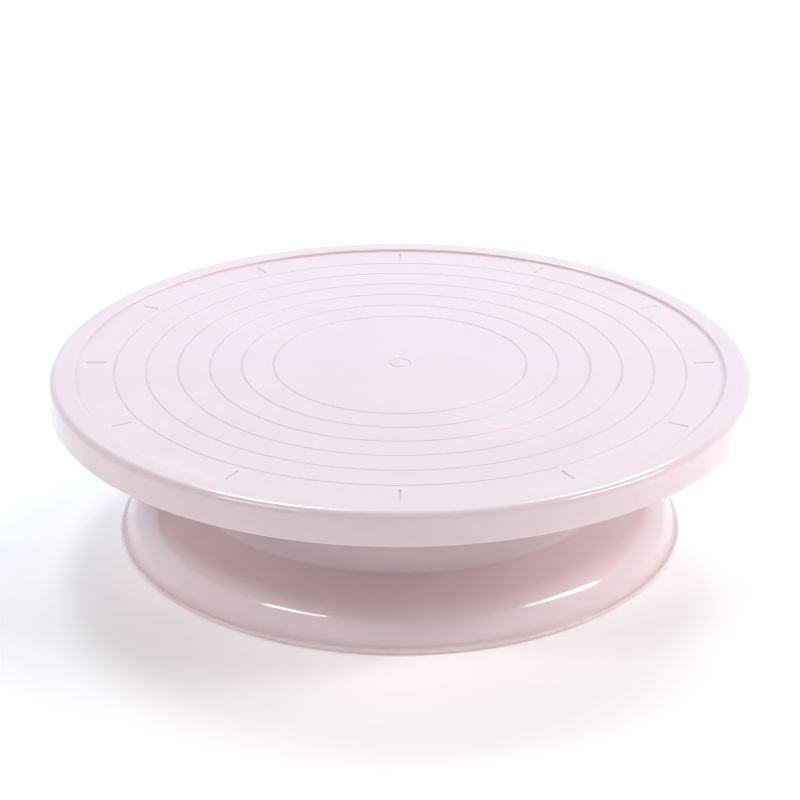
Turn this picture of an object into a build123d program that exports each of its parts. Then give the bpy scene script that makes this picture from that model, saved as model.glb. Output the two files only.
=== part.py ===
from build123d import *

# Cake turntable: a round plate with a raised lip turns on a ball race over a bell-shaped base.
# Millimetres, +Z up. The origin is on the table surface, on the axis that the plate turns about.

import os

os.makedirs("parts", exist_ok=True)

# ---- driving dimensions -------------------------------------------------------------------------

# whole object
plate_radius = 140.0
base_radius = 114.4
overall_height = 71.0
wall = 2.6  # thickness of both plastic shells
rib_thick = 1.8

# plate
lip_width = 10.0
lip_rise = 1.0
lip_edge_round = 0.5
lip_foot_round = 0.3
rim_depth = 13.0
rim_round = 3.0
rim_edge_round = 0.7
centre_mark_radius = 4.0
guide_ring_radii = [50.8, 63.5, 76.2, 88.9, 101.6, 114.3]  # for 4 to 9 inch cakes
guide_groove_radius = 0.4
division_count = 12
division_length = 8.0
division_gap = 4.0
plate_ribs = 36
plate_hub_ribs = 12
plate_ring_radius = 105.0

# base
foot_lift = 0.8  # how far the pads stand out below the rim
flange_height = 1.6
flange_reach = 2.0
flange_round = 0.4
shoulder_height = 14.2
shoulder_lean = 1.4
shoulder_round = 15.0
neck_radius = 84.5
neck_foot = 19.3
neck_draft = 1.3
neck_top_round = 3.0
crease_round = 1.5
deck_top = 54.0
base_ribs = 18
rib_arch_top = 38.0
rib_arch_foot = 22.0

# feet
foot_count = 6
foot_circle = 96.0
foot_boss_radius = 9.0
foot_recess_radius = 7.1
foot_recess = 1.5
foot_pad_radius = 6.95
foot_pad_round = 0.6

# ball race
ball_radius = 3.0
ball_count = 24
ball_centre = 56.0
ball_gap = 0.05  # running gap between a ball and the bottom of each groove
groove_radius = 1.05 * ball_radius
race_radius = 66.0
race_width = 12.0
race_thick = 2.2
race_recess = 0.4
race_seat_gap = 0.2
cage_width = 10.8
cage_thick = 2.8
pocket_gap = 0.12

# spindle and its bearings
spindle_radius = 6.0
spindle_end = 22.2
spindle_flange_radius = 20.2
spindle_flange_top = 60.4
spindle_flange_thick = 3.0
spigot_radius = 4.0
spigot_length = 4.0
spigot_gap = 0.1
spigot_chamfer = 0.5
bush_wall = 1.95
bush_running_gap = 0.05
bush_length = 14.0
bush_flange = 1.5
hub_wall = 3.0
end_play = 0.3

# fasteners
flange_screw_circle = 14.0
flange_screw_count = 4
flange_screw_radius = 1.75
flange_screw_head = 3.4
flange_screw_length = 8.0
flange_screw_gap = 0.1
pilot_gap = 0.05
pilot_spare = 1.0  # depth of a pilot hole beyond its screw's tip
cross_width = 0.9
m6_radius = 3.0
m6_gap = 0.05
m6_length = 15.0
m6_head_radius = 5.2
m6_head_height = 4.0
m6_head_round = 0.8
m6_socket_depth = 2.0
m6_socket_radius = 2.3
washer_radius = 10.0
washer_thick = 1.5
washer_gap = 0.2
spring_washer_radius = 5.6
spring_washer_thick = 1.4
spring_washer_slot = 1.0

# bottom cap
collar_inner = 15.5
collar_wall = 2.0
collar_bottom = 10.0
collar_web = 2.4
cap_thick = 1.6
cap_round = 0.5
cap_skirt = 6.0
cap_skirt_wall = 1.6
cap_gap = 0.1
cap_slots = 4
cap_slot_width = 3.0

# ---- sizes that follow --------------------------------------------------------------------------

plate_top = overall_height - lip_rise
plate_under = plate_top - wall
lip_inner = plate_radius - lip_width
rim_bottom = overall_height - rim_depth

flange_top = foot_lift + flange_height
wall_foot = base_radius - flange_reach
neck_top_radius = neck_radius - neck_draft

race_inner = race_radius - race_width / 2
race_outer = race_radius + race_width / 2
channel_inner = race_inner - race_seat_gap
channel_outer = race_outer + race_seat_gap
lower_race_top = deck_top - race_recess
lower_race_bottom = lower_race_top - race_thick
upper_race_bottom = 2 * ball_centre - lower_race_top
upper_race_top = upper_race_bottom + race_thick
upper_groove_centre = ball_centre + ball_radius + ball_gap - groove_radius
lower_groove_centre = ball_centre - ball_radius - ball_gap + groove_radius

spindle_top = spindle_flange_top - spindle_flange_thick
bush_bore = spindle_radius + bush_running_gap
bush_radius = bush_bore + bush_wall
hub_radius = bush_radius + hub_wall
hub_bottom = spindle_end + end_play + bush_flange
rib_start = bush_radius + hub_wall / 2
collar_outer = collar_inner + collar_wall
plate_hub_inner = spindle_flange_radius + race_seat_gap
plate_hub_outer = plate_hub_inner + wall
washer_bottom = spindle_end - washer_thick
screw_head_top = washer_bottom - spring_washer_thick


def save(part, name):
    """Label a finished piece and write it to its own STEP file."""
    part.label = name
    export_step(part, f"parts/{name}.step")


def ring(inner, outer, bottom, top):
    """A plain ring about the axis, as a rectangle of its section to revolve."""
    with Locations(((inner + outer) / 2, (bottom + top) / 2)):
        Rectangle(outer - inner, top - bottom)


# ---- base_shell ---------------------------------------------------------------------------------

shell_outline = [
    (wall_foot, foot_lift),
    (wall_foot, flange_top),
    (wall_foot - shoulder_lean, shoulder_height),
    (neck_radius, neck_foot),
    (neck_top_radius, deck_top),
    (channel_outer, deck_top),
    (channel_outer, lower_race_bottom),
    (channel_inner, lower_race_bottom),
    (channel_inner, deck_top),
    (bush_radius, deck_top),
]

with BuildPart() as base_shell:
    # ribs from the hub to the neck, arched underneath, with none inside the cap collar
    with BuildSketch(Plane.XY.offset(collar_bottom)):
        with PolarLocations((rib_start + neck_radius) / 2, base_ribs):
            Rectangle(neck_radius - rib_start, rib_thick)
    extrude(amount=deck_top - collar_bottom)
    with BuildSketch(Plane.XZ):
        with BuildLine():
            ThreePointArc(
                (collar_outer, collar_bottom),
                ((collar_outer + neck_radius) / 2, rib_arch_top),
                (neck_radius, rib_arch_foot),
            )
            Polyline(
                (neck_radius, rib_arch_foot),
                (base_radius, rib_arch_foot),
                (base_radius, 0),
                (0, 0),
                (0, collar_bottom),
                (collar_outer, collar_bottom),
            )
        make_face()
    revolve(axis=Axis.Z, mode=Mode.SUBTRACT)

    # foot bosses under the shoulder
    with BuildSketch(Plane.XY.offset(foot_lift)):
        with PolarLocations(foot_circle, foot_count):
            Circle(foot_boss_radius)
    extrude(amount=neck_foot)

    # ribs and bosses stop in the thickness of the shell; the ring keeps the bosses' feet
    with BuildSketch(Plane.XZ):
        with BuildLine():
            Polyline((0, 0), (wall_foot, 0), *shell_outline[1:], (0, deck_top), close=True)
        make_face()
        offset(amount=-wall / 2, kind=Kind.INTERSECTION)
        ring(0, foot_circle + foot_boss_radius, 0, shoulder_height / 2)
    revolve(axis=Axis.Z, mode=Mode.INTERSECT)
    with BuildSketch(Plane.XY):
        Circle(collar_inner)
    extrude(amount=hub_bottom, mode=Mode.SUBTRACT)

    # shell, bottom flange, hub tube and cap collar
    with BuildSketch(Plane.XZ):
        with BuildLine() as outline:
            Polyline(*shell_outline)
            fillet(outline.vertices().group_by(Axis.Y)[2], shoulder_round)
            fillet(outline.vertices().sort_by_distance((neck_radius, neck_foot))[0], crease_round)
            fillet(outline.vertices().sort_by_distance((neck_top_radius, deck_top))[0], neck_top_round)
            offset(amount=wall, side=Side.LEFT, kind=Kind.INTERSECTION)
        make_face()
        ring(wall_foot - wall / 2, base_radius, foot_lift, flange_top)
        ring(bush_radius, hub_radius, hub_bottom, deck_top)
        ring(bush_radius, collar_outer, hub_bottom, hub_bottom + collar_web)
        ring(collar_inner, collar_outer, collar_bottom, hub_bottom + collar_web)
    revolve(axis=Axis.Z)

    # clear bore, and a recess in each foot boss
    with BuildSketch(Plane.XY.offset(hub_bottom)):
        Circle(bush_radius)
    extrude(amount=deck_top - hub_bottom, mode=Mode.SUBTRACT)
    with BuildSketch(Plane.XY.offset(foot_lift)):
        with PolarLocations(foot_circle, foot_count):
            Circle(foot_recess_radius)
    extrude(amount=foot_recess, mode=Mode.SUBTRACT)

    # the flange's outer edges are softened
    flange_edges = base_shell.edges().filter_by(GeomType.CIRCLE)
    flange_edges = flange_edges.filter_by(lambda edge: abs(edge.radius - base_radius) < rim_edge_round)
    fillet(flange_edges, flange_round)

save(base_shell.part, "base_shell")

# ---- foot_pad_1 to foot_pad_6 -------------------------------------------------------------------

for number, place in enumerate(PolarLocations(foot_circle, foot_count), start=1):
    with BuildPart() as foot_pad:
        with BuildSketch(Plane(place)):
            Circle(foot_pad_radius)
        extrude(amount=foot_lift + foot_recess)
        fillet(foot_pad.faces().sort_by(Axis.Z)[0].edges(), foot_pad_round)
    save(foot_pad.part, f"foot_pad_{number}")

# ---- lower_race and upper_race ------------------------------------------------------------------

with BuildPart() as lower_race:
    with BuildSketch(Plane.XZ):
        ring(race_inner, race_outer, lower_race_bottom, lower_race_top)
        with Locations((race_radius, lower_groove_centre)):
            Circle(groove_radius, mode=Mode.SUBTRACT)
    revolve(axis=Axis.Z)
save(lower_race.part, "lower_race")

with BuildPart() as upper_race:
    with BuildSketch(Plane.XZ):
        ring(race_inner, race_outer, upper_race_bottom, upper_race_top)
        with Locations((race_radius, upper_groove_centre)):
            Circle(groove_radius, mode=Mode.SUBTRACT)
    revolve(axis=Axis.Z)
save(upper_race.part, "upper_race")

# ---- ball_cage and thrust_balls -----------------------------------------------------------------

with BuildPart() as ball_cage:
    with BuildSketch(Plane.XY.offset(ball_centre - cage_thick / 2)):
        Circle(race_radius + cage_width / 2)
        Circle(race_radius - cage_width / 2, mode=Mode.SUBTRACT)
        with PolarLocations(race_radius, ball_count):
            Circle(ball_radius + pocket_gap, mode=Mode.SUBTRACT)
    extrude(amount=cage_thick)
save(ball_cage.part, "ball_cage")

with BuildPart() as thrust_balls:
    with Locations((0, 0, ball_centre)):
        with PolarLocations(race_radius, ball_count):
            Sphere(ball_radius)
save(thrust_balls.part, "thrust_balls")

# ---- upper_bush and lower_bush ------------------------------------------------------------------

with BuildPart() as upper_bush:
    with BuildSketch(Plane.XZ):
        ring(bush_bore, bush_radius, deck_top - bush_length, deck_top + bush_flange)
        ring(bush_bore, hub_radius, deck_top, deck_top + bush_flange)
    revolve(axis=Axis.Z)
save(upper_bush.part, "upper_bush")

with BuildPart() as lower_bush:
    with BuildSketch(Plane.XZ):
        ring(bush_bore, bush_radius, hub_bottom - bush_flange, hub_bottom + bush_length)
        ring(bush_bore, hub_radius, hub_bottom - bush_flange, hub_bottom)
    revolve(axis=Axis.Z)
save(lower_bush.part, "lower_bush")

# ---- bottom_cap ---------------------------------------------------------------------------------

skirt_outer = collar_inner - cap_gap

with BuildPart() as bottom_cap:
    with BuildSketch(Plane.XZ):
        ring(0, collar_outer, collar_bottom - cap_thick, collar_bottom)
        ring(skirt_outer - cap_skirt_wall, skirt_outer, collar_bottom, collar_bottom + cap_skirt)
    revolve(axis=Axis.Z)
    with BuildSketch(Plane.XY.offset(collar_bottom)):
        with PolarLocations(0, cap_slots // 2, angular_range=180):
            Rectangle(2 * collar_inner, cap_slot_width)
    extrude(amount=cap_skirt, mode=Mode.SUBTRACT)
    fillet(bottom_cap.faces().sort_by(Axis.Z)[0].edges(), cap_round)
save(bottom_cap.part, "bottom_cap")

# ---- turntable_plate ----------------------------------------------------------------------------

skin_middle = plate_top - wall / 2
seat_ring_bottom = upper_race_bottom + race_recess
pilot_depth = flange_screw_length - spindle_flange_thick + pilot_spare

with BuildPart() as turntable_plate:
    # radial ribs, from the hub ring to the race and from the race to the rim
    with BuildSketch(Plane.XY.offset(upper_race_top)):
        with PolarLocations((plate_hub_outer + race_radius) / 2, plate_hub_ribs):
            Rectangle(race_radius - plate_hub_inner, rib_thick)
        with PolarLocations((race_inner + plate_radius - wall / 2) / 2, plate_ribs):
            Rectangle(plate_radius - wall / 2 - race_inner, rib_thick)
    extrude(amount=skin_middle - upper_race_top)

    # the outer ribs get shallower towards the rim
    with BuildSketch(Plane.XZ):
        with BuildLine():
            Polyline(
                (channel_outer + wall, upper_race_top),
                (plate_radius, plate_under - wall / 2),
                (plate_radius, upper_race_top),
                close=True,
            )
        make_face()
    revolve(axis=Axis.Z, mode=Mode.SUBTRACT)

    # skin, lip, rim, ring ribs, hub ring and spigot socket
    with BuildSketch(Plane.XZ):
        with BuildLine() as skin:
            Polyline(
                (0, plate_top),
                (lip_inner, plate_top),
                (lip_inner, overall_height),
                (plate_radius, overall_height),
                (plate_radius, rim_bottom),
            )
            fillet(skin.vertices().sort_by_distance((plate_radius, overall_height))[0], rim_round)
            fillet(skin.vertices().sort_by_distance((lip_inner, overall_height))[0], lip_edge_round)
            fillet(skin.vertices().sort_by_distance((lip_inner, plate_top))[0], lip_foot_round)
            offset(amount=wall, side=Side.RIGHT, kind=Kind.INTERSECTION)
        make_face()
        ring(channel_inner - rib_thick, channel_inner, seat_ring_bottom, skin_middle)
        ring(channel_outer, channel_outer + rib_thick, seat_ring_bottom, skin_middle)
        ring(plate_ring_radius, plate_ring_radius + rib_thick, plate_under - wall, skin_middle)
        ring(plate_hub_inner, plate_hub_outer, upper_race_bottom, skin_middle)
        ring(spigot_radius + spigot_gap, spigot_radius + wall, spindle_flange_top, skin_middle)
    revolve(axis=Axis.Z)

    # screw bosses with pilot holes, for the spindle
    with BuildSketch(Plane.XY.offset(spindle_flange_top)):
        with PolarLocations(flange_screw_circle, flange_screw_count):
            Circle(flange_screw_radius + wall)
    extrude(amount=skin_middle - spindle_flange_top)
    with BuildSketch(Plane.XY.offset(spindle_flange_top)):
        with PolarLocations(flange_screw_circle, flange_screw_count):
            Circle(flange_screw_radius + pilot_gap)
    extrude(amount=pilot_depth, mode=Mode.SUBTRACT)

    # guide rings and division marks, engraved in the top
    with BuildSketch(Plane.XZ):
        with Locations(*[(radius, plate_top) for radius in [centre_mark_radius, *guide_ring_radii]]):
            Circle(guide_groove_radius)
    revolve(axis=Axis.Z, mode=Mode.SUBTRACT)
    with BuildSketch(Plane.XY.offset(plate_top)):
        with PolarLocations(lip_inner - division_gap - division_length / 2, division_count):
            Rectangle(division_length, 2 * guide_groove_radius)
    extrude(amount=-guide_groove_radius, mode=Mode.SUBTRACT)

    fillet(turntable_plate.edges().filter_by(GeomType.CIRCLE).group_by(Axis.Z)[0], rim_edge_round)

save(turntable_plate.part, "turntable_plate")

# ---- spindle ------------------------------------------------------------------------------------

with BuildPart() as spindle:
    with BuildSketch(Plane.XZ):
        ring(0, spindle_radius, spindle_end, spindle_top)
        ring(0, spindle_flange_radius, spindle_top, spindle_flange_top)
        ring(0, spigot_radius, spindle_flange_top, spindle_flange_top + spigot_length)
    revolve(axis=Axis.Z)
    chamfer(spindle.faces().sort_by(Axis.Z)[-1].edges(), spigot_chamfer)
    with Locations(Location((0, 0, spindle_end), (180, 0, 0))):
        Hole(m6_radius + m6_gap, depth=m6_length)
    with Locations(Location((0, 0, spindle_top), (180, 0, 0))):
        with PolarLocations(flange_screw_circle, flange_screw_count):
            CounterSinkHole(
                flange_screw_radius + flange_screw_gap,
                flange_screw_head + flange_screw_gap,
                depth=spindle_flange_thick,
                counter_sink_angle=90,
            )
save(spindle.part, "spindle")

# ---- spindle_screws -----------------------------------------------------------------------------

head_height = flange_screw_head - flange_screw_radius

with BuildPart() as spindle_screws:
    with Locations(*[place.position for place in PolarLocations(flange_screw_circle, flange_screw_count)]):
        with Locations((0, 0, spindle_top + head_height / 2)):
            Cone(flange_screw_head, flange_screw_radius, head_height)
        with Locations((0, 0, spindle_top + flange_screw_length / 2)):
            Cylinder(flange_screw_radius, flange_screw_length)
        with Locations((0, 0, spindle_top)):
            Box(flange_screw_head, cross_width, head_height, mode=Mode.SUBTRACT)
            Box(cross_width, flange_screw_head, head_height, mode=Mode.SUBTRACT)
save(spindle_screws.part, "spindle_screws")

# ---- retaining_washer, spring_washer and retaining_screw ----------------------------------------

with BuildPart() as retaining_washer:
    with BuildSketch(Plane.XY.offset(washer_bottom)):
        Circle(washer_radius)
        Circle(m6_radius + washer_gap, mode=Mode.SUBTRACT)
    extrude(amount=washer_thick)
save(retaining_washer.part, "retaining_washer")

with BuildPart() as spring_washer:
    with BuildSketch(Plane.XY.offset(screw_head_top)):
        Circle(spring_washer_radius)
        Circle(m6_radius + washer_gap, mode=Mode.SUBTRACT)
        with Locations((spring_washer_radius, 0)):
            Rectangle(spring_washer_radius, spring_washer_slot, mode=Mode.SUBTRACT)
    extrude(amount=spring_washer_thick)
save(spring_washer.part, "spring_washer")

with BuildPart() as retaining_screw:
    with BuildSketch(Plane.XY.offset(screw_head_top - m6_head_height)):
        Circle(m6_head_radius)
    extrude(amount=m6_head_height)
    fillet(retaining_screw.faces().sort_by(Axis.Z)[0].edges(), m6_head_round)
    with BuildSketch(Plane.XY.offset(screw_head_top)):
        Circle(m6_radius)
    extrude(amount=m6_length)
    with BuildSketch(Plane.XY.offset(screw_head_top - m6_head_height)):
        RegularPolygon(m6_socket_radius, 6)
    extrude(amount=m6_socket_depth, mode=Mode.SUBTRACT)
save(retaining_screw.part, "retaining_screw")
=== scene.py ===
import math

import bmesh
import bpy
from mathutils import Matrix, Quaternion, Vector


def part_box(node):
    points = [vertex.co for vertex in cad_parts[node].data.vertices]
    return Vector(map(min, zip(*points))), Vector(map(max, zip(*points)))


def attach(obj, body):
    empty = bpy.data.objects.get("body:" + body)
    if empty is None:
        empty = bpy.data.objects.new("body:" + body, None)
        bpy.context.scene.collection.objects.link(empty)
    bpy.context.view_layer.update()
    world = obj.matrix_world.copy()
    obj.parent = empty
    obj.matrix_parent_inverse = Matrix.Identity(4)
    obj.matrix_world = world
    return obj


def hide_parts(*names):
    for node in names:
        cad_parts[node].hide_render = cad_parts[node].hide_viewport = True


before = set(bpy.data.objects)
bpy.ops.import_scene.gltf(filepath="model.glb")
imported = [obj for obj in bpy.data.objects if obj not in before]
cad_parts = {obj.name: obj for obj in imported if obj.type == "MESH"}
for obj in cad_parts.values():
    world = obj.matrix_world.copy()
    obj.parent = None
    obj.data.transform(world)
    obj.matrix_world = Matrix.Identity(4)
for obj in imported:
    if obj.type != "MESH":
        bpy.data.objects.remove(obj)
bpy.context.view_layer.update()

# ---- sizes, in metres, from the CAD parts and from the object's wall thicknesses --------------------

MM = 0.001
SEGMENTS = 384
ARC_STEP = math.radians(7)

plate_low, plate_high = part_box("turntable_plate")
base_low, base_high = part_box("base_shell")
race_low, race_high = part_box("lower_race")
upper_low, upper_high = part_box("upper_race")
cap_low, cap_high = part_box("bottom_cap")
_, flange_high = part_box("spindle")
bush_low, bush_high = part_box("lower_bush")
pad_low, pad_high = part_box("foot_pad_1")

wall = 2.6 * MM
rib = 1.8 * MM
plate_radius = min(plate_high.x, plate_high.y)
base_radius = min(base_high.x, base_high.y)
seat_gap = 0.2 * MM


def soften(outline, closed):
    """Round an outline's corners with arcs. A point is (r, z) or (r, z, radius)."""
    smooth = []
    count = len(outline)
    for index, point in enumerate(outline):
        at_end = not closed and index in (0, count - 1)
        if len(point) < 3 or at_end:
            smooth.append((point[0], point[1]))
            continue
        corner = Vector(point[:2])
        before = Vector(outline[index - 1][:2]) - corner
        after = Vector(outline[(index + 1) % count][:2]) - corner
        turn = math.pi - before.angle(after)
        reach = point[2] * math.tan(turn / 2)
        start = corner + before.normalized() * reach
        centre = corner + (before.normalized() + after.normalized()).normalized() * (
            point[2] / math.cos(turn / 2)
        )
        side = -1 if before.cross(after) < 0 else 1
        steps = max(3, math.ceil(turn / ARC_STEP))
        for step in range(steps + 1):
            spin = Matrix.Rotation(-side * turn * step / steps, 2)
            spot = centre + spin @ (start - centre)
            smooth.append((spot.x, spot.y))
    return smooth


def offset(outline, distance):
    """The outline moved sideways by distance, with its corners mitred and its ends square."""
    points = [Vector(point[:2]) for point in outline]
    moved = []
    for index, point in enumerate(points):
        ways = []
        if index > 0:
            ways.append((point - points[index - 1]).normalized())
        if index < len(points) - 1:
            ways.append((points[index + 1] - point).normalized())
        sides = [Vector((-way.y, way.x)) for way in ways]
        middle = sum(sides, Vector((0, 0))).normalized()
        moved.append(point + middle * distance / middle.dot(sides[0]))
    return [(point.x, point.y) for point in moved]


# ---- mesh tools -------------------------------------------------------------------------------------


def new_object(name, bm):
    """An object made from a bmesh, with its faces turned outwards."""
    bmesh.ops.recalc_face_normals(bm, faces=bm.faces)
    mesh = bpy.data.meshes.new(name)
    bm.to_mesh(mesh)
    bm.free()
    made = bpy.data.objects.new(name, mesh)
    bpy.context.scene.collection.objects.link(made)
    return made


def lathe(bm, outline, closed, centre=(0, 0), segments=SEGMENTS):
    """Turn an outline of (r, z) points about a vertical axis through centre."""
    rows = []
    for r, z in outline:
        if r < 1e-7:
            rows.append([bm.verts.new((centre[0], centre[1], z))])
            continue
        row = []
        for step in range(segments):
            angle = 2 * math.pi * step / segments
            row.append(bm.verts.new((centre[0] + r * math.cos(angle), centre[1] + r * math.sin(angle), z)))
        rows.append(row)
    pairs = list(zip(rows, rows[1:]))
    if closed:
        pairs.append((rows[-1], rows[0]))
    for one, two in pairs:
        for step in range(segments):
            after = (step + 1) % segments
            if len(one) == 1 and len(two) == 1:
                break
            if len(one) == 1:
                bm.faces.new((one[0], two[after], two[step]))
            elif len(two) == 1:
                bm.faces.new((one[step], one[after], two[0]))
            else:
                bm.faces.new((one[step], one[after], two[after], two[step]))


def slab(bm, outline, angle, root, edge):
    """A radial web: an (r, z) outline as thick as root at its top and as edge at its bottom."""
    turn = Matrix.Rotation(angle, 3, "Z")
    low = min(z for _, z in outline)
    high = max(z for _, z in outline)
    sides = []
    for side in (-0.5, 0.5):
        row = []
        for r, z in outline:
            thick = edge + (root - edge) * (z - low) / (high - low)
            row.append(bm.verts.new(turn @ Vector((r, side * thick, z))))
        sides.append(row)
    left, right = sides
    bm.faces.new(left)
    bm.faces.new(reversed(right))
    for index in range(len(left)):
        after = (index + 1) % len(left)
        bm.faces.new((left[index], right[index], right[after], left[after]))


def pegs(bm, count, circle, inner, outer, low, high, first=0.0, segments=64):
    """Evenly spaced upright pegs or tubes, whose top is a height or a function of the radius."""
    for index in range(count):
        angle = first + 2 * math.pi * index / count
        centre = Vector((circle * math.cos(angle), circle * math.sin(angle)))
        walls = []
        for radius in (outer, inner):
            if not radius:
                continue
            for at_top in (False, True):
                row = []
                for step in range(segments):
                    turn = 2 * math.pi * step / segments
                    spot = centre + radius * Vector((math.cos(turn), math.sin(turn)))
                    top = high(spot.length) if callable(high) else high
                    row.append(bm.verts.new((spot.x, spot.y, top if at_top else low)))
                walls.append(row)
        if not inner:
            bm.faces.new(walls[0])
            bm.faces.new(walls[1])
            join_rows(bm, walls[0], walls[1])
            continue
        for one, two in ((0, 1), (1, 3), (3, 2), (2, 0)):
            join_rows(bm, walls[one], walls[two])


def join_rows(bm, one, two):
    """Quads between two closed rows of vertices."""
    for step in range(len(one)):
        after = (step + 1) % len(one)
        bm.faces.new((one[step], one[after], two[after], two[step]))


def combine(target, tool, operation):
    """Boolean of two closed meshes, with its result applied."""
    cut = target.modifiers.new("combine", "BOOLEAN")
    cut.operation = operation
    cut.object = tool
    cut.solver = "MANIFOLD"
    shapes = bpy.context.evaluated_depsgraph_get()
    result = bpy.data.meshes.new_from_object(target.evaluated_get(shapes))
    target.modifiers.remove(cut)
    target.data = result
    bpy.data.objects.remove(tool)


def shade(made, sharp=35):
    """Smooth shading whose large faces stay flat, with creases at the sharp angle and above."""
    made.data.shade_smooth()
    made.data.set_sharp_from_angle(angle=math.radians(sharp))
    weigh = made.modifiers.new("weigh", "WEIGHTED_NORMAL")
    weigh.keep_sharp = True


def finish_piece(made, body, nodes, look):
    """Material, body, and the CAD nodes that it stands for, which are hidden."""
    made.data.materials.clear()
    made.data.materials.append(look)
    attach(made, body)
    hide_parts(*nodes)


# ---- materials --------------------------------------------------------------------------------------


class Look:
    """A material's node tree, with short ways to add to it."""

    def __init__(self, name):
        self.material = bpy.data.materials.new(name)
        self.material.use_nodes = True
        self.nodes = self.material.node_tree.nodes
        self.links = self.material.node_tree.links
        self.shader = self.nodes["Principled BSDF"]
        self.place = self.nodes.new("ShaderNodeTexCoord").outputs["Object"]

    def add(self, kind, **values):
        made = self.nodes.new(kind)
        for key, value in values.items():
            setattr(made, key, value)
        return made

    def link(self, source, target):
        self.links.new(source, target)

    def noise(self, scale, detail=2.0, roughness=0.5, stretch=(1, 1, 1)):
        """Noise in object space; scale is in features per metre."""
        spread = self.add("ShaderNodeMapping")
        spread.inputs["Scale"].default_value = stretch
        self.link(self.place, spread.inputs["Vector"])
        made = self.add("ShaderNodeTexNoise")
        made.inputs["Scale"].default_value = scale
        made.inputs["Detail"].default_value = detail
        made.inputs["Roughness"].default_value = roughness
        self.link(spread.outputs["Vector"], made.inputs["Vector"])
        return made.outputs["Fac"]

    def span(self, value, low, high, start=0.3, end=0.7):
        """Map a value between start and end to low and high."""
        made = self.add("ShaderNodeMapRange")
        made.inputs["From Min"].default_value = start
        made.inputs["From Max"].default_value = end
        made.inputs["To Min"].default_value = low
        made.inputs["To Max"].default_value = high
        self.link(value, made.inputs["Value"])
        return made.outputs["Result"]

    def maths(self, operation, one, two):
        made = self.add("ShaderNodeMath", operation=operation)
        for socket, value in zip(made.inputs, (one, two)):
            if isinstance(value, (int, float)):
                socket.default_value = value
            else:
                self.link(value, socket)
        return made.outputs["Value"]

    def blend(self, factor, one, two):
        """A colour between one and two."""
        made = self.add("ShaderNodeMix", data_type="RGBA")
        sockets = [socket for socket in made.inputs if socket.type == "RGBA"]
        for socket, value in zip(sockets, (one, two)):
            if isinstance(value, tuple):
                socket.default_value = (*value, 1)
            else:
                self.link(value, socket)
        self.link(factor, made.inputs["Factor"])
        return [socket for socket in made.outputs if socket.type == "RGBA"][0]

    def bump(self, height, distance, normal=None):
        made = self.add("ShaderNodeBump")
        made.inputs["Strength"].default_value = 1.0
        made.inputs["Distance"].default_value = distance
        self.link(height, made.inputs["Height"])
        if normal is not None:
            self.link(normal, made.inputs["Normal"])
        return made.outputs["Normal"]

    def set(self, **values):
        for key, value in values.items():
            self.shader.inputs[key.replace("_", " ")].default_value = value

    def feed(self, **sources):
        for key, source in sources.items():
            self.link(source, self.shader.inputs[key.replace("_", " ")])


def moulded_plastic(name, light, dark, roughness=0.15):
    """Glossy, slightly translucent moulding: faint mottling, a soft ripple and fine wiping marks."""
    look = Look(name)
    mottle = look.span(look.noise(26, 4), 0, 1)
    look.feed(Base_Color=look.blend(mottle, light, dark))
    marks = look.noise(900, 3, 0.6, (1, 1, 6))
    look.feed(Roughness=look.span(marks, roughness - 0.04, roughness + 0.06))
    ripple = look.bump(look.noise(45, 1), 0.00006)
    skin = look.bump(look.noise(1600, 2), 0.000004, ripple)
    look.feed(Normal=skin)
    look.set(IOR=1.5, Subsurface_Weight=0.25, Subsurface_Scale=0.004)
    look.shader.inputs["Subsurface Radius"].default_value = (1.0, 0.62, 0.66)
    look.set(Coat_Weight=0.5, Coat_Roughness=0.03)
    return look.material


def distance_from_axis(look):
    flat = look.add("ShaderNodeMapping")
    flat.inputs["Scale"].default_value = (1, 1, 0)
    look.link(look.place, flat.inputs["Vector"])
    length = look.add("ShaderNodeVectorMath", operation="LENGTH")
    look.link(flat.outputs["Vector"], length.inputs[0])
    return length.outputs["Value"]


def turned_steel(name, light, dark, roughness, line_scale=9000):
    """Metal with fine turning lines about the axis and a faint uneven film of oil."""
    look = Look(name)
    lines = look.add("ShaderNodeTexNoise", noise_dimensions="1D")
    lines.inputs["Scale"].default_value = line_scale
    lines.inputs["Detail"].default_value = 3
    look.link(distance_from_axis(look), lines.inputs["W"])
    film = look.span(look.noise(160, 4), 0, 1)
    look.feed(Base_Color=look.blend(film, light, dark))
    grain = look.span(lines.outputs["Fac"], -0.05, 0.08)
    patchy = look.span(film, roughness - 0.04, roughness + 0.08, 0, 1)
    look.feed(Roughness=look.maths("ADD", grain, patchy))
    look.feed(Normal=look.bump(lines.outputs["Fac"], 0.000006))
    look.set(Metallic=1.0)
    return look.material


def dull_plastic(name, light, dark, roughness, cloudy=0.1):
    """Unpainted technical plastic or silicone: speckled, soft-edged and slightly cloudy."""
    look = Look(name)
    speckle = look.span(look.noise(700, 3), 0, 1, 0.35, 0.75)
    look.feed(Base_Color=look.blend(speckle, light, dark))
    look.feed(Roughness=look.span(look.noise(220, 4), roughness - 0.07, roughness + 0.09))
    look.feed(Normal=look.bump(look.noise(2400, 2), 0.00001))
    look.set(IOR=1.45, Subsurface_Weight=cloudy, Subsurface_Scale=0.002)
    return look.material


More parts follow.
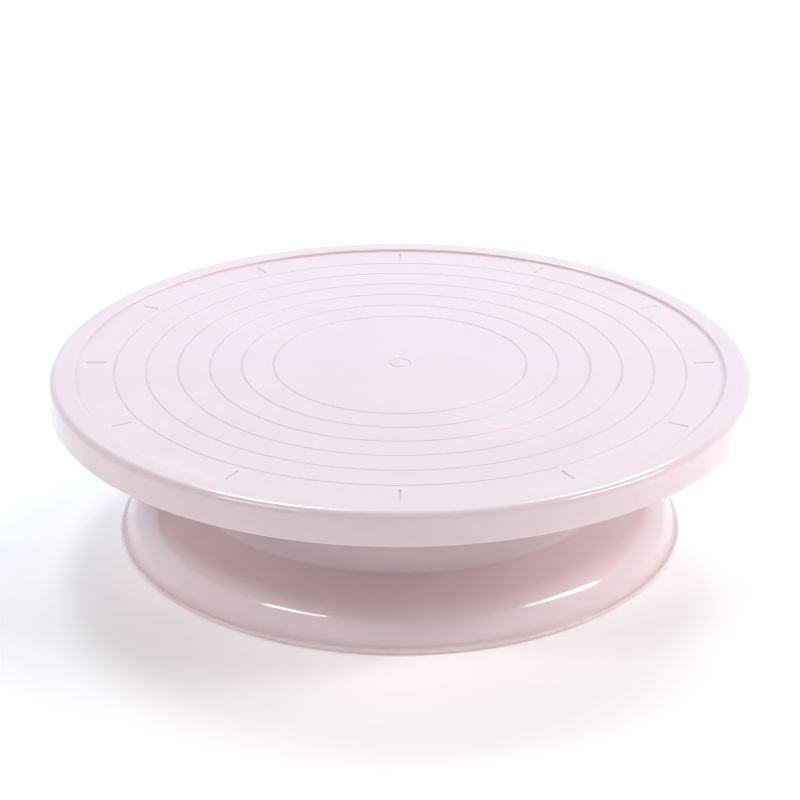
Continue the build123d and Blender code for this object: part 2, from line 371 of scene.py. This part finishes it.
pink = moulded_plastic("pink_moulding", (0.80, 0.675, 0.68), (0.78, 0.65, 0.657))
race_steel = turned_steel("race_steel", (0.60, 0.60, 0.61), (0.50, 0.49, 0.48), 0.28)
spindle_steel = turned_steel("spindle_steel", (0.56, 0.56, 0.57), (0.46, 0.45, 0.44), 0.34)
ball_steel = turned_steel("ball_steel", (0.72, 0.72, 0.74), (0.60, 0.59, 0.58), 0.10, 300)
zinc = turned_steel("zinc_plate", (0.62, 0.64, 0.67), (0.50, 0.53, 0.58), 0.30, 2500)
nylon = dull_plastic("cage_nylon", (0.72, 0.70, 0.62), (0.64, 0.62, 0.55), 0.48)
acetal = dull_plastic("bush_acetal", (0.80, 0.80, 0.77), (0.74, 0.74, 0.71), 0.36)
silicone = dull_plastic("foot_silicone", (0.74, 0.72, 0.73), (0.66, 0.64, 0.65), 0.50, 0.4)

# ---- base -------------------------------------------------------------------------------------------

flange_top = base_low.z + 1.6 * MM
wall_foot = base_radius - 2 * MM
shoulder = (wall_foot - 1.4 * MM, 14.2 * MM)
shoulder_round = 15 * MM
neck_foot = (84.5 * MM, 19.3 * MM)
crease_round = 1.5 * MM
deck_top = base_high.z
neck_top = (neck_foot[0] - 1.3 * MM, deck_top)
neck_top_round = 3 * MM
channel_inner = 60 * MM - seat_gap
channel_outer = race_high.x + seat_gap
hub_bottom = bush_low.z + 1.5 * MM
bush_radius = 8 * MM
hub_radius = bush_high.x
collar_outer = cap_high.x
collar_inner = collar_outer - 2 * MM
collar_bottom = cap_low.z + 1.6 * MM
foot_circle = (pad_low.x + pad_high.x) / 2
pad_radius = (pad_high.x - pad_low.x) / 2
foot_count = 6
boss_radius = 9 * MM
recess_radius = 7.1 * MM
base_ribs = 18
rib_taper = 0.8
arch_rise = 27 * MM
arch_steps = 16


def base_outline():
    """The base's section. A point of its skin is (r, z, round outside, round inside)."""
    edge = 0.3 * MM
    skin = [
        (wall_foot, base_low.z, 0, edge),
        (wall_foot, flange_top, 0.4 * MM, 0.2 * MM),
        (*shoulder, shoulder_round, shoulder_round - wall),
        (*neck_foot, crease_round, crease_round + wall),
        (*neck_top, neck_top_round, neck_top_round - wall),
        (channel_outer, deck_top, edge, edge),
        (channel_outer, race_low.z, edge, edge),
        (channel_inner, race_low.z, edge, edge),
        (channel_inner, deck_top, edge, edge),
        (hub_radius, deck_top, 0, 0.5 * MM),
    ]
    collar_top = hub_bottom + 2.4 * MM
    loop = [(base_radius, base_low.z, 0.4 * MM), (base_radius, flange_top, 0.5 * MM)]
    loop += [(r, z, outside) for r, z, outside, _ in skin[1:-1]]
    loop += [
        (bush_radius, deck_top, edge),
        (bush_radius, hub_bottom, edge),
        (collar_inner, hub_bottom, 0.2 * MM),
        (collar_inner, collar_bottom, 0.2 * MM),
        (collar_outer, collar_bottom, edge),
        (collar_outer, collar_top, edge),
        (hub_radius, collar_top, edge),
    ]
    within = [(r, z, point[-1]) for (r, z), point in zip(offset(skin, wall), skin)]
    return loop + within[::-1]


def slope_middle(r):
    """Height of the middle of the base's sloping skin."""
    share = (shoulder[0] - r) / (shoulder[0] - neck_foot[0])
    return shoulder[1] + (neck_foot[1] - shoulder[1]) * share - wall / 2


def make_base():
    """The base moulding: its skin, arched ribs, foot bosses and the recesses for the feet."""
    bm = bmesh.new()
    lathe(bm, soften(base_outline(), True), True)
    body = new_object("base_moulding", bm)

    bm = bmesh.new()
    arch = []
    for step in range(arch_steps + 1):
        share = step / arch_steps
        r = collar_outer + (neck_foot[0] - wall - collar_outer) * share
        rise = arch_rise * math.sin(math.pi * (0.08 + 0.72 * share))
        arch.append((r, collar_bottom + 1 * MM + rise))
    top = deck_top - wall / 2
    for index in range(base_ribs):
        outline = [(hub_radius - 1 * MM, top), (hub_radius - 1 * MM, hub_bottom + 1 * MM), *arch]
        outline.append((neck_top[0] - wall / 2, arch[-1][1]))
        outline.append((neck_top[0] - wall / 2, top))
        slab(bm, outline, 2 * math.pi * index / base_ribs, rib, rib * rib_taper)
    ribs = new_object("ribs", bm)
    combine(body, ribs, "UNION")

    bm = bmesh.new()
    pegs(bm, foot_count, foot_circle, 0, boss_radius, base_low.z, slope_middle)
    combine(body, new_object("bosses", bm), "UNION")
    bm = bmesh.new()
    pegs(bm, foot_count, foot_circle, 0, recess_radius, base_low.z - 1 * MM, pad_high.z)
    combine(body, new_object("recesses", bm), "DIFFERENCE")
    shade(body)
    finish_piece(body, "base", ["base_shell"], pink)


make_base()

# ---- plate ------------------------------------------------------------------------------------------

lip_rise = 1 * MM
lip_inner = plate_radius - 10 * MM
plate_top = plate_high.z - lip_rise
plate_under = plate_top - wall
rim_bottom = plate_low.z
half_inch = 12.7 * MM
guide_radii = [4 * MM, *(inches * half_inch for inches in range(4, 10))]
groove = 0.4 * MM
groove_steps = 8
division_count = 12
plate_ribs = 36
hub_ribs = 12
hub_ring = flange_high.x + seat_gap
seat_ring_bottom = upper_low.z + 0.4 * MM
spindle_seat = 60.4 * MM
stiffener = 105 * MM
screw_circle = 14 * MM
pilot_radius = 1.8 * MM
screw_boss_radius = 4.35 * MM
ejector_circles = (90 * MM, 122 * MM)
ejector_radius = 3 * MM
ejector_rise = 0.15 * MM
middle = plate_top - wall / 2


def downward_ring(inner, outer, low):
    """The outline of a ring rib that hangs from the skin, from outside to inside."""
    edge = 0.3 * MM
    corners = ((outer, plate_under), (outer, low), (inner, low), (inner, plate_under))
    return [(r, z, edge) for r, z in corners]


def plate_outline():
    """The plate's section, from the middle of its top round the rim to the middle of its underside."""
    line = [(0, plate_top)]
    for radius in guide_radii:
        for step in range(groove_steps + 1):
            angle = math.pi * step / groove_steps
            line.append((radius - groove * math.cos(angle), plate_top - groove * math.sin(angle)))
    line += [
        (lip_inner, plate_top, 0.33 * MM),
        (lip_inner, plate_high.z, 0.5 * MM),
        (plate_radius, plate_high.z, 3 * MM),
        (plate_radius, rim_bottom, 0.7 * MM),
        (plate_radius - wall, rim_bottom, 0.7 * MM),
        (plate_radius - wall, plate_under, 1.2 * MM),
    ]
    line += downward_ring(stiffener, stiffener + rib, plate_under - wall)
    line += downward_ring(channel_outer, channel_outer + rib, seat_ring_bottom)
    line += downward_ring(channel_inner - rib, channel_inner, seat_ring_bottom)
    line += downward_ring(hub_ring, hub_ring + wall, upper_low.z)
    line += downward_ring(4.1 * MM, 6.6 * MM, spindle_seat)
    line.append((0, plate_under))
    return line


def make_plate():
    """The plate moulding: its skin, ribs, division marks, screw bosses and ejector marks."""
    bm = bmesh.new()
    lathe(bm, soften(plate_outline(), False), False)
    body = new_object("plate_moulding", bm)

    bm = bmesh.new()
    for index in range(plate_ribs):
        outline = [
            (channel_inner - rib / 2, middle),
            (channel_inner - rib / 2, upper_high.z),
            (channel_outer + wall, upper_high.z),
            (plate_radius - wall / 2, plate_under - wall / 2),
            (plate_radius - wall / 2, middle),
        ]
        slab(bm, outline, 2 * math.pi * index / plate_ribs, rib, rib * rib_taper)
    combine(body, new_object("ribs", bm), "UNION")

    bm = bmesh.new()
    for index in range(hub_ribs):
        outline = [
            (hub_ring + wall / 2, middle),
            (hub_ring + wall / 2, upper_high.z),
            (channel_inner - rib / 2, upper_high.z),
            (channel_inner - rib / 2, middle),
        ]
        slab(bm, outline, 2 * math.pi * index / hub_ribs, rib, rib * rib_taper)
    combine(body, new_object("hub_ribs", bm), "UNION")

    bm = bmesh.new()
    for index in range(division_count):
        outline = [
            (lip_inner - 12 * MM, plate_top + groove),
            (lip_inner - 12 * MM, plate_top - groove),
            (lip_inner - 4 * MM, plate_top - groove),
            (lip_inner - 4 * MM, plate_top + groove),
        ]
        slab(bm, outline, 2 * math.pi * index / division_count, 2 * groove, 2 * groove)
    combine(body, new_object("marks", bm), "DIFFERENCE")

    bm = bmesh.new()
    pegs(bm, 4, screw_circle, pilot_radius, screw_boss_radius, spindle_seat, middle)
    combine(body, new_object("screw_bosses", bm), "UNION")
    bm = bmesh.new()
    for circle in ejector_circles:
        low = plate_under - ejector_rise
        pegs(bm, 12, circle, 0, ejector_radius, low, middle, math.radians(15))
    combine(body, new_object("ejector_marks", bm), "UNION")
    shade(body)
    finish_piece(body, "plate", ["turntable_plate"], pink)


make_plate()

# ---- feet, cap and inner pieces ---------------------------------------------------------------------

# where the feet's lands start and end, as shares of the pad's radius
inner_lands = ((0.22, 0.36), (0.50, 0.64))
outer_land = 0.78


def make_foot(number):
    """A silicone pad with ring-shaped lands on its underside."""
    name = f"foot_pad_{number}"
    low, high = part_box(name)
    centre = ((low.x + high.x) / 2, (low.y + high.y) / 2)
    dip = 0.3 * MM
    edge = 0.15 * MM
    line = [(0, low.z + dip)]
    for start, end in inner_lands:
        line.append((pad_radius * start, low.z + dip, edge))
        line.append((pad_radius * start, low.z, edge))
        line.append((pad_radius * end, low.z, edge))
        line.append((pad_radius * end, low.z + dip, edge))
    line.append((pad_radius * outer_land, low.z + dip, edge))
    line.append((pad_radius * outer_land, low.z, edge))
    line.append((pad_radius, low.z, 0.5 * MM))
    line.append((pad_radius, high.z, edge))
    line.append((0, high.z))
    bm = bmesh.new()
    lathe(bm, soften(line, False), False, centre, 96)
    pad = new_object(f"silicone_foot_{number}", bm)
    shade(pad)
    finish_piece(pad, "base", [name], silicone)


def make_cap():
    """The snap-in cap: a shallow dish with a slotted skirt and a notch to prise it out."""
    thick = collar_bottom - cap_low.z
    skirt_outer = collar_inner - 0.1 * MM
    skirt_inner = skirt_outer - 1.6 * MM
    line = [
        (0, cap_low.z + 0.4 * MM),
        (collar_outer * 0.72, cap_low.z + 0.4 * MM, 0.3 * MM),
        (collar_outer * 0.76, cap_low.z, 0.3 * MM),
        (collar_outer, cap_low.z, 0.5 * MM),
        (collar_outer, collar_bottom, 0.2 * MM),
        (skirt_outer, collar_bottom, 0.1 * MM),
        (skirt_outer, cap_high.z, 0.3 * MM),
        (skirt_inner, cap_high.z, 0.3 * MM),
        (skirt_inner, collar_bottom, 0.3 * MM),
        (0, collar_bottom),
    ]
    bm = bmesh.new()
    lathe(bm, soften(line, False), False, segments=128)
    cover = new_object("bottom_cover", bm)
    bm = bmesh.new()
    for quarter in range(4):
        outline = [
            (skirt_inner - 1 * MM, collar_bottom + 0.1 * MM),
            (skirt_inner - 1 * MM, cap_high.z + 1 * MM),
            (skirt_outer + 1 * MM, cap_high.z + 1 * MM),
            (skirt_outer + 1 * MM, collar_bottom + 0.1 * MM),
        ]
        slab(bm, outline, math.pi / 2 * quarter, 3 * MM, 3 * MM)
    combine(cover, new_object("slots", bm), "DIFFERENCE")
    bm = bmesh.new()
    outline = [
        (collar_outer - 1.2 * MM, cap_low.z - 1 * MM),
        (collar_outer - 1.2 * MM, cap_low.z + thick * 0.55),
        (collar_outer + 1 * MM, cap_low.z + thick * 0.55),
        (collar_outer + 1 * MM, cap_low.z - 1 * MM),
    ]
    slab(bm, outline, math.radians(-60), 5 * MM, 5 * MM)
    combine(cover, new_object("notch", bm), "DIFFERENCE")
    shade(cover)
    finish_piece(cover, "base", ["bottom_cap"], pink)


for number in range(1, foot_count + 1):
    make_foot(number)
make_cap()

inner_looks = {
    "lower_race": race_steel,
    "upper_race": race_steel,
    "spindle": spindle_steel,
    "thrust_balls": ball_steel,
    "ball_cage": nylon,
    "upper_bush": acetal,
    "lower_bush": acetal,
    "spindle_screws": zinc,
    "retaining_screw": zinc,
    "retaining_washer": zinc,
    "spring_washer": zinc,
}
for node, look in inner_looks.items():
    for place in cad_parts[node].material_slots:
        place.material = look

# ---- floor, light and camera ------------------------------------------------------------------------

white = (1, 1, 1)
warm = (1.0, 0.92, 0.93)
cool = (0.38, 0.80, 1.0)
lamp_distance = 1.6


def make_floor():
    """A round sheet of pale paper that fades into the white backdrop."""
    bm = bmesh.new()
    bmesh.ops.create_circle(bm, cap_ends=True, segments=96, radius=1.2)
    floor = new_object("floor", bm)
    look = Look("floor_paper")
    look.set(Base_Color=(0.98, 0.98, 0.98, 1), Roughness=0.9)
    look.set(Emission_Color=(1, 1, 1, 1), Emission_Strength=0.14)
    fade_start, fade_end = 0.4, 0.95
    look.feed(Alpha=look.span(distance_from_axis(look), 1, 0, fade_start, fade_end))
    floor.data.materials.append(look.material)


def soft_light(name, azimuth, elevation, width, height, power, colour=white, tilt=0, sheen=True):
    """A soft box aimed at the object, with azimuth 0 in front and 90 on the right, in degrees."""
    light = bpy.data.lights.new(name, "AREA")
    light.shape = "RECTANGLE"
    light.size = width
    light.size_y = height
    light.energy = power
    light.color = colour
    lamp = bpy.data.objects.new(name, light)
    bpy.context.scene.collection.objects.link(lamp)
    turn, rise = math.radians(azimuth), math.radians(elevation)
    away = Vector((math.sin(turn) * math.cos(rise), -math.cos(turn) * math.cos(rise), math.sin(rise)))
    aim = Vector((0, 0, plate_high.z / 2))
    lamp.location = aim + away * lamp_distance
    roll = Quaternion((0, 0, 1), math.radians(tilt))
    lamp.rotation_euler = ((-away).to_track_quat("-Z", "Y") @ roll).to_euler()
    lamp.visible_glossy = sheen


def make_camera():
    """A long lens, a little above the plate, that looks slightly over the object's middle."""
    distance = 1.0
    aim_rise = 0.0166
    camera = bpy.data.cameras.new("camera")
    camera.lens = 110.5
    camera.sensor_width = 36
    seen = bpy.data.objects.new("camera", camera)
    bpy.context.scene.collection.objects.link(seen)
    rise = math.radians(24.5)
    back = Vector((0, -math.cos(rise), math.sin(rise)))
    up = Vector((0, math.sin(rise), math.cos(rise)))
    middle_of_object = Vector((0, 0, plate_high.z / 2))
    seen.location = middle_of_object + back * distance
    aim = middle_of_object + up * aim_rise
    seen.rotation_euler = (aim - seen.location).to_track_quat("-Z", "Y").to_euler()
    bpy.context.scene.camera = seen


def make_world():
    """A weak even light from all round. Glossy rays see it brighter, and the camera sees it white."""
    world = bpy.data.worlds.new("studio")
    world.use_nodes = True
    nodes = world.node_tree.nodes
    links = world.node_tree.links
    path = nodes.new("ShaderNodeLightPath")
    shine = nodes.new("ShaderNodeMapRange")
    shine.inputs["To Min"].default_value = 0.12
    shine.inputs["To Max"].default_value = 1.1
    links.new(path.outputs["Is Glossy Ray"], shine.inputs["Value"])
    around = nodes["Background"]
    around.inputs["Color"].default_value = (0.77, 0.83, 1, 1)
    links.new(shine.outputs["Result"], around.inputs["Strength"])
    backdrop = nodes.new("ShaderNodeBackground")
    backdrop.inputs["Color"].default_value = (1, 1, 1, 1)
    choose = nodes.new("ShaderNodeMixShader")
    links.new(path.outputs["Is Camera Ray"], choose.inputs[0])
    links.new(around.outputs[0], choose.inputs[1])
    links.new(backdrop.outputs[0], choose.inputs[2])
    links.new(choose.outputs[0], nodes["World Output"].inputs["Surface"])
    bpy.context.scene.world = world


make_floor()
make_world()
soft_light("key_right", 80, 40, 0.8, 0.2, 5.5, tilt=-40)
soft_light("key_left", -52, 47, 0.6, 0.16, 3.6, tilt=20)
soft_light("rim_left", -159, 56, 0.3, 0.5, 6.5, tilt=-46)
soft_light("rim_right", 152, 48, 0.35, 0.45, 5, tilt=71)
soft_light("fill_front", 0, 26, 1.8, 0.2, 3.9, warm, sheen=False)
soft_light("fill_left", -92, 26, 1.2, 0.2, 6, warm, sheen=False)
soft_light("fill_right", 86, 26, 1.2, 0.2, 10.4, warm, sheen=False)
soft_light("side_left", -110, 20, 0.8, 0.6, 1.5, warm, sheen=False)
soft_light("side_right", 110, 20, 0.8, 0.6, 2.4, warm, sheen=False)
soft_light("back", 180, 30, 1.6, 0.6, 10.5, cool, sheen=False)
make_camera()
bpy.context.scene.view_settings.view_transform = "Standard"
